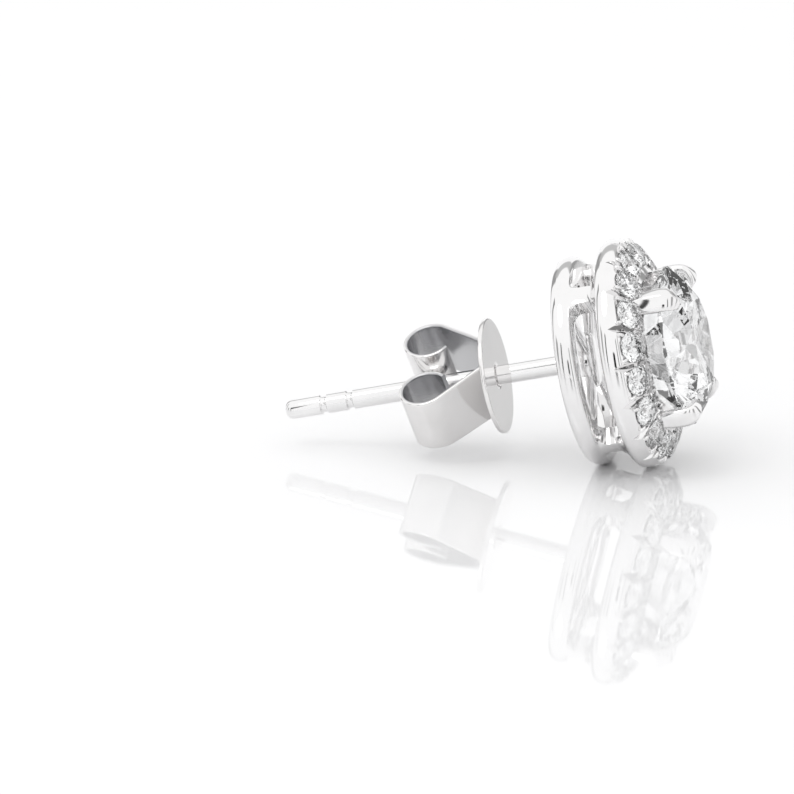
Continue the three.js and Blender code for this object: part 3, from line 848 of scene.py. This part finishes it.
# %% A claw's sections and line
CLAW_WIDTH = 0.95
CLAW_THICKNESS = 0.64
CLAW_REACH = 0.6
CLAW_ABOVE_CROWN = 0.12
# A section of the claw's cage in shares of half its thickness (outwards) and half its width, ridge first
CLAW_SECTION = ((1.05, 0.0), (0.6, 0.72), (0.0, 1.16), (-0.8, 1.0), (-1.1, 0.45))
# Along the line, the claw's thickness and width as shares of its own
CLAW_SWELL = (
    (0.7, 0.6),
    (0.85, 0.85),
    (1.0, 1.04),
    (1.0, 1.08),
    (1.0, 1.04),
    (0.84, 0.86),
    (0.52, 0.5),
    (0.1, 0.08),
)
claw_outside, _ = setting.widest(stone_z - 0.05, stone_z + 0.4)
claw_top = float(setting.z.max())
claw_middle = claw_outside - CLAW_THICKNESS / 2
crown_slope = (stone_top - stone_z - half_girdle) / (stone_radius - table_radius)
tip_z = stone_z + half_girdle + CLAW_REACH * crown_slope + CLAW_ABOVE_CROWN
bend_z = claw_top - CLAW_THICKNESS / 2
# The line's points as (radius, height)
CLAW_LINE = (
    (halo_bore + 0.28, cone_front_z - 0.85),
    (halo_bore + 0.36, cone_front_z - 0.3),
    (claw_middle - 0.03, cone_front_z + 0.2),
    (claw_middle, stone_z),
    (claw_middle - 0.06, (stone_z + bend_z) / 2 + 0.1),
    (claw_middle - 0.28, bend_z - 0.02),
    (stone_radius - 0.3, bend_z + 0.04),
    (stone_radius - CLAW_REACH, tip_z),
)
print("a claw rises to", round(claw_top, 2), "and its tip ends at", round(tip_z, 2))

# %% Claws
CLAW_RIDGE_CREASE = 0.85
STONE_ROOM_SIDES = 96
FIRST_CLAW = -135
CLAW_ANGLES = [math.radians(FIRST_CLAW + 90 * k) for k in range(4)]
claws_shape = bmesh.new()
claw_crease = claws_shape.edges.layers.float.new("crease_edge")
for angle in CLAW_ANGLES:
    sections = []
    for number, (radius, z) in enumerate(CLAW_LINE):
        before = Vector(CLAW_LINE[max(number - 1, 0)])
        after = Vector(CLAW_LINE[min(number + 1, len(CLAW_LINE) - 1)])
        ahead = (after - before).normalized()
        outward = Vector((ahead.y, -ahead.x))
        thick, wide = CLAW_SWELL[number]
        points = [(out, side) for out, side in CLAW_SECTION]
        points += [(out, -side) for out, side in reversed(CLAW_SECTION[1:])]
        section = []
        for out, side in points:
            off = out * thick * CLAW_THICKNESS / 2
            y = side * wide * CLAW_WIDTH / 2
            section.append((radius + outward.x * off, y, z + outward.y * off))
        sections.append(section)
    rings_of_claw = loft(claws_shape, sections, Matrix.Rotation(angle, 4, "Z"))
    for low_ring, high_ring in zip(rings_of_claw, rings_of_claw[1:]):
        claws_shape.edges.get((low_ring[0], high_ring[0]))[claw_crease] = CLAW_RIDGE_CREASE
claws = loose_object("claws", claws_shape)
subdivide(claws, 3)
room = bmesh.new()
turn_profile(room, [
    (0.0, stone_bottom - STONE_GAP),
    (stone_radius + STONE_GAP, stone_z - half_girdle - STONE_GAP / 2),
    (stone_radius + STONE_GAP, stone_z + half_girdle + STONE_GAP / 2),
    (table_radius + STONE_GAP, stone_top + STONE_GAP),
    (0.0, stone_top + STONE_GAP),
], STONE_ROOM_SIDES)
combine(claws, "DIFFERENCE", room)
finish_piece(claws, setting_metal, "stud", "setting", sharp=50.0)

# %% [markdown]
# ## Bars, hub and post
#
# Behind the stone two bars cross under the basket and carry the hub that the post is soldered to. They
# show from behind and through the windows. Plain boxes would betray themselves by razor edges, so they
# get a small bevel; the hub and post are turned, with a fillet of solder where they meet, and two friction
# grooves near the post's tip.

# %% Bars
BAR_WIDTH = 0.85
BAR_HEIGHT = 0.62
BAR_RECESS = 0.12
BAR_BEVEL = 0.09
bars_shape = bmesh.new()
bar_length = (base_bore + waist) / 2
for angle in CLAW_ANGLES[:2]:
    size = Matrix.Diagonal((2 * bar_length, BAR_WIDTH, BAR_HEIGHT, 1.0))
    middle = Matrix.Translation((0.0, 0.0, BAR_RECESS + BAR_HEIGHT / 2))
    bmesh.ops.create_cube(bars_shape, size=1.0, matrix=Matrix.Rotation(angle, 4, "Z") @ middle @ size)
long_edges = [e for e in bars_shape.edges if e.calc_length() > 2 * BAR_WIDTH]
bmesh.ops.bevel(bars_shape, geom=long_edges, offset=BAR_BEVEL, segments=3, profile=0.5, affect="EDGES")
bars = loose_object("gallery_bars", bars_shape)
finish_piece(bars, setting_metal, "stud", "setting")

# %% Hub
HUB_RADIUS = 1.14
HUB_HEIGHT = 0.7
HUB_EDGE = 0.08  # how far its rear edge is rounded
HUB_SHOULDER = 0.15  # and its front edge
HUB_SIDES = 64
hub_front = BAR_RECESS + HUB_HEIGHT
hub_shape = bmesh.new()
turn_profile(hub_shape, [
    (0.0, BAR_RECESS),
    (HUB_RADIUS - HUB_EDGE, BAR_RECESS),
    (HUB_RADIUS - HUB_EDGE / 4, BAR_RECESS + HUB_EDGE / 4),
    (HUB_RADIUS, BAR_RECESS + HUB_EDGE),
    (HUB_RADIUS, hub_front - HUB_SHOULDER),
    (HUB_RADIUS - HUB_SHOULDER / 3, hub_front - HUB_SHOULDER / 3),
    (HUB_RADIUS - HUB_SHOULDER, hub_front),
    (0.0, hub_front),
], HUB_SIDES)
hub = loose_object("hub", hub_shape)
finish_piece(hub, setting_metal, "stud", "setting")

# %% Post
POST_SIDES = 64
POST_TIP_ROUND = 0.3
ARC_STEPS = 6
GROOVES_FROM_TIP = (1.65, 2.78)
POST_GROOVE_WIDTH = 0.3
POST_GROOVE_DEPTH = 0.08
SOLDER_FILLET = 0.2
POST_IN_HUB = 0.1
post_tip = float(setting.z.min())
post_radius, _ = setting.widest(post_tip + 0.5, post_tip + 8.0)
profile = [(0.0, post_tip)]
for step in range(1, ARC_STEPS + 1):
    angle = step / ARC_STEPS * math.pi / 2
    radius = post_radius - POST_TIP_ROUND * (1 - math.sin(angle))
    profile.append((radius, post_tip + POST_TIP_ROUND * (1 - math.cos(angle))))
for from_tip in GROOVES_FROM_TIP:
    for step in range(-ARC_STEPS, ARC_STEPS + 1):
        share = step / ARC_STEPS
        dip = POST_GROOVE_DEPTH * (1 - share ** 4)
        profile.append((post_radius - dip, post_tip + from_tip + share * POST_GROOVE_WIDTH / 2))
for step in range(ARC_STEPS + 1):
    angle = step / ARC_STEPS * math.pi / 2
    radius = post_radius + SOLDER_FILLET * (1 - math.cos(angle))
    profile.append((radius, BAR_RECESS - SOLDER_FILLET * (1 - math.sin(angle))))
post_end = BAR_RECESS + POST_IN_HUB
profile += [(post_radius + SOLDER_FILLET, post_end), (0.0, post_end)]
post_shape = bmesh.new()
turn_profile(post_shape, profile, POST_SIDES)
post = loose_object("post", post_shape)
finish_piece(post, setting_metal, "stud", "setting", sharp=45.0)

# %% [markdown]
# ## The butterfly back
#
# The back is stamped and bent from one strip: a disc that lies against the ear, and two wings curled into
# scrolls that grip the post. Light on it is all about the strip's edge: a thin bright rounded rim around
# dark insides. So each wing is a rounded-edge strip swept along the scroll's line, fine enough that its
# mirror bends smoothly, and the disc is turned with soft edges and a small dish at its hole.

# %% Disc
DISC_EDGE = 0.05
DISC_SIDES = 96
HOLE_DISH = 0.12
DISH_DEPTH = 0.06
FLAT_MARGIN = 0.03  # corners this far inside a flat's edge keep its shading flat
back = Ruler("butterfly_back")
disc_front_z = float(back.z.max())
disc_radius, _ = back.widest(disc_front_z - 0.3, disc_front_z + 0.1)
hole = float(back.radius.min())
disc_rim = back.z[(back.radius > disc_radius - SAME_PLACE) & (back.z > disc_front_z - 0.4)]
disc_rear_z = float(disc_rim.min())
disc_shape = bmesh.new()
turn_profile(disc_shape, [
    (hole, disc_rear_z),
    (disc_radius - DISC_EDGE - FLAT_MARGIN, disc_rear_z),
    (disc_radius - DISC_EDGE, disc_rear_z),
    (disc_radius - 0.3 * DISC_EDGE, disc_rear_z + 0.3 * DISC_EDGE),
    (disc_radius, disc_rear_z + DISC_EDGE),
    (disc_radius, disc_front_z - DISC_EDGE),
    (disc_radius - 0.3 * DISC_EDGE, disc_front_z - 0.3 * DISC_EDGE),
    (disc_radius - DISC_EDGE, disc_front_z),
    (disc_radius - DISC_EDGE - FLAT_MARGIN, disc_front_z),
    (hole + HOLE_DISH + FLAT_MARGIN, disc_front_z),
    (hole + HOLE_DISH, disc_front_z),
    (hole + 0.4 * HOLE_DISH, disc_front_z - DISH_DEPTH / 3),
    (hole, disc_front_z - DISH_DEPTH),
], DISC_SIDES)
disc = loose_object("back_disc", disc_shape)
finish_piece(disc, back_metal, "back", "butterfly_back", sharp=40.0)

# %% [markdown]
# The two wings mirror each other about the post. We read how far the back has rolled on the post from the
# spread of the wings' corners: the direction in which they reach furthest points from one scroll to the
# other.

# %% The wings' line
STRIP_THICKNESS = 0.17
WING_START = 0.6  # how far beside the post a wing leaves the disc
SCROLL_HALF_LENGTH = 1.07
SCROLL_END = math.radians(128)
STRAIGHT_STEPS = 10
SCROLL_STEPS = 56
wing_points = back.points[back.z < disc_rear_z - 0.5]
reaches, directions = np.linalg.eigh(np.cov(wing_points[:, :2].T))
across_scrolls = directions[:, reaches.argmax()]
if across_scrolls[0] < 0:
    across_scrolls = -across_scrolls
back_roll = math.atan2(across_scrolls[1], across_scrolls[0])
scroll_outside = float(abs(wing_points[:, :2] @ across_scrolls).max())
along_strip = np.array((-across_scrolls[1], across_scrolls[0]))
curled = wing_points[wing_points[:, 2] < disc_rear_z - 3]
strip_width = 2 * float(abs(curled @ np.append(along_strip, 0)).max())
print("the back has rolled by", round(math.degrees(back_roll), 1), "degrees")
print("its strip is", round(strip_width, 2), "mm wide")
scroll_x = (scroll_outside + hole) / 2
scroll_radius = (scroll_outside - hole) / 2 - STRIP_THICKNESS / 2
scroll_z = float(back.z.min()) + SCROLL_HALF_LENGTH
scroll_length = SCROLL_HALF_LENGTH - STRIP_THICKNESS / 2
start = Vector((WING_START, (disc_front_z + disc_rear_z) / 2))
seen = Vector(((start.x - scroll_x) / scroll_radius, (start.y - scroll_z) / scroll_length))
touch = math.atan2(seen.y, seen.x) - math.acos(1 / seen.length)
around = touch + 2 * math.pi - SCROLL_END
line = []
for step in range(SCROLL_STEPS + 1):
    angle = touch - around * step / SCROLL_STEPS
    x = scroll_x + scroll_radius * math.cos(angle)
    z = scroll_z + scroll_length * math.sin(angle)
    line.append(Vector((x, z)))
leaves_scroll = line[0]
line = [start.lerp(leaves_scroll, step / STRAIGHT_STEPS) for step in range(STRAIGHT_STEPS)] + line
print("scroll's middle", round(scroll_x, 3), round(scroll_z, 3))
print("half its width and length", round(scroll_radius, 3), round(scroll_length, 3))

# %% [markdown]
# ### Dark insides: painted shade
#
# The inside of a scroll never sees the polishing wheel once the strip is bent, so it stays matt and rougher
# than the outside. Its colour is also made greyer there: that is painted shade, standing in for the shadow
# inside the curl. The material finds the inside from coordinates: it works out each point's place across
# and along the post, and asks whether that is inside the strip's own middle line. The disc's rear lies in
# the open and gets no painted shade.

# %% Group: inside of the scrolls, a mask for painted shade and a matt finish
FORK_FADE = 0.1
DISC_FADE = (0.08, 0.02)
scrolls, given, gives = new_group("Scroll insides painted shade", [("Softness", 0.04)], ["Inside"])
where = add(scrolls, "ShaderNodeTexCoord").outputs["Object"]
from_base = add(scrolls, "ShaderNodeVectorMath", {0: where, 1: base_middle}, operation="SUBTRACT").outputs[0]


def coordinate(way):
    """How far a point lies along a direction of the stud's frame, in millimetres."""
    in_row = turn_to_row.to_3x3() @ Vector(way) / MM
    along = add(scrolls, "ShaderNodeVectorMath", {0: from_base, 1: in_row}, operation="DOT_PRODUCT")
    return along.outputs["Value"]


beside = calculate(scrolls, "ABSOLUTE", coordinate((math.cos(back_roll), math.sin(back_roll), 0.0)))
along_post = coordinate((0.0, 0.0, 1.0))
share_x = calculate(scrolls, "DIVIDE", calculate(scrolls, "SUBTRACT", beside, scroll_x), scroll_radius)
share_z = calculate(scrolls, "DIVIDE", calculate(scrolls, "SUBTRACT", along_post, scroll_z), scroll_length)
squared_x = calculate(scrolls, "MULTIPLY", share_x, share_x)
squared_z = calculate(scrolls, "MULTIPLY", share_z, share_z)
from_scroll = calculate(scrolls, "SQRT", calculate(scrolls, "ADD", squared_x, squared_z))
soft = given["Softness"]
in_scroll = spread(
    scrolls,
    from_scroll,
    calculate(scrolls, "SUBTRACT", 1.0, soft),
    calculate(scrolls, "ADD", 1.0, soft),
    1.0,
    0.0,
)
straight = (leaves_scroll - start).normalized()
inward = Vector((straight.y, -straight.x))
off_line = calculate(
    scrolls,
    "ADD",
    calculate(scrolls, "MULTIPLY", calculate(scrolls, "SUBTRACT", beside, start.x), inward.x),
    calculate(scrolls, "MULTIPLY", calculate(scrolls, "SUBTRACT", along_post, start.y), inward.y),
)
behind_line = spread(scrolls, off_line, calculate(scrolls, "SUBTRACT", 0.0, soft), soft)
before_scroll = spread(scrolls, along_post, leaves_scroll.y - FORK_FADE, leaves_scroll.y + FORK_FADE)
off_disc = spread(scrolls, along_post, disc_rear_z - DISC_FADE[0], disc_rear_z - DISC_FADE[1], 1.0, 0.0)
beside_disc = calculate(scrolls, "MULTIPLY", before_scroll, off_disc)
in_fork = calculate(scrolls, "MULTIPLY", behind_line, beside_disc)
# The mask marks the scrolls and the fork by the disc: it darkens the colour there as painted shade and raises the
# roughness
scrolls.links.new(calculate(scrolls, "MAXIMUM", in_scroll, in_fork), gives["Inside"])
print("scroll insides:", len(scrolls.nodes), "nodes")

# %% White gold of the back, with painted shade in the scrolls
# Painted shade: the insides get a darker base colour for the shadow in the curl; the higher roughness there is the
# real matt finish
INSIDE_PAINTED_SHADE_TONE = (0.55, 0.55, 0.56, 1)
INSIDE_ROUGHNESS = 0.2
tree = back_metal.node_tree
shader = tree.nodes["Principled BSDF"]
shade_and_matt_mask = add(tree, "ShaderNodeGroup", node_tree=scrolls).outputs["Inside"]
outside_tone = shader.inputs["Base Color"].links[0].from_socket
outside_roughness = shader.inputs["Roughness"].links[0].from_socket
tree.links.new(mixed(tree, shade_and_matt_mask, outside_tone, INSIDE_PAINTED_SHADE_TONE), shader.inputs["Base Color"])
roughnesses = {0: shade_and_matt_mask, 2: outside_roughness, 3: INSIDE_ROUGHNESS}
rougher = add(tree, "ShaderNodeMix", roughnesses, data_type="FLOAT")
tree.links.new(rougher.outputs[0], shader.inputs["Roughness"])
print("insides: tone", INSIDE_PAINTED_SHADE_TONE[0], "roughness", INSIDE_ROUGHNESS)

# %% Wings
STRIP_WIDTH_AT_DISC = 2.7
STRIP_ROUND = 0.06
STRIP_ROUND_STEPS = 4


def strip_section(width):
    """A rounded rectangle: places across the strip's thickness and along its width."""
    points = []
    for corner_x, corner_y, first in ((1, 1, 0), (-1, 1, 90), (-1, -1, 180), (1, -1, 270)):
        on_flat = (corner_x * STRIP_THICKNESS / 2, corner_y * (width / 2 - STRIP_ROUND - FLAT_MARGIN))
        arc = []
        for step in range(STRIP_ROUND_STEPS + 1):
            angle = math.radians(first + 90 * step / STRIP_ROUND_STEPS)
            x = corner_x * (STRIP_THICKNESS / 2 - STRIP_ROUND) + STRIP_ROUND * math.cos(angle)
            y = corner_y * (width / 2 - STRIP_ROUND) + STRIP_ROUND * math.sin(angle)
            arc.append((x, y))
        points += [on_flat, *arc] if corner_x == corner_y else [*arc, on_flat]
    return points


for side, wing_name in ((1, "back_wing_near"), (-1, "back_wing_far")):
    sections = []
    for number, point in enumerate(line):
        before = line[max(number - 1, 0)]
        after = line[min(number + 1, len(line) - 1)]
        ahead = (after - before).normalized()
        aside = Vector((-ahead.y, ahead.x))
        near_disc = min(max((point.y - scroll_z) / (start.y - scroll_z), 0.0), 1.0)
        width = strip_width + (STRIP_WIDTH_AT_DISC - strip_width) * near_disc
        section = []
        for thick, wide in strip_section(width):
            section.append(((point.x + aside.x * thick) * side, wide, point.y + aside.y * thick))
        sections.append(section)
    wing_shape = bmesh.new()
    loft(wing_shape, sections, Matrix.Rotation(back_roll, 4, "Z"))
    wing = loose_object(wing_name, wing_shape)
    finish_piece(wing, back_metal, "back", "butterfly_back", sharp=40.0)
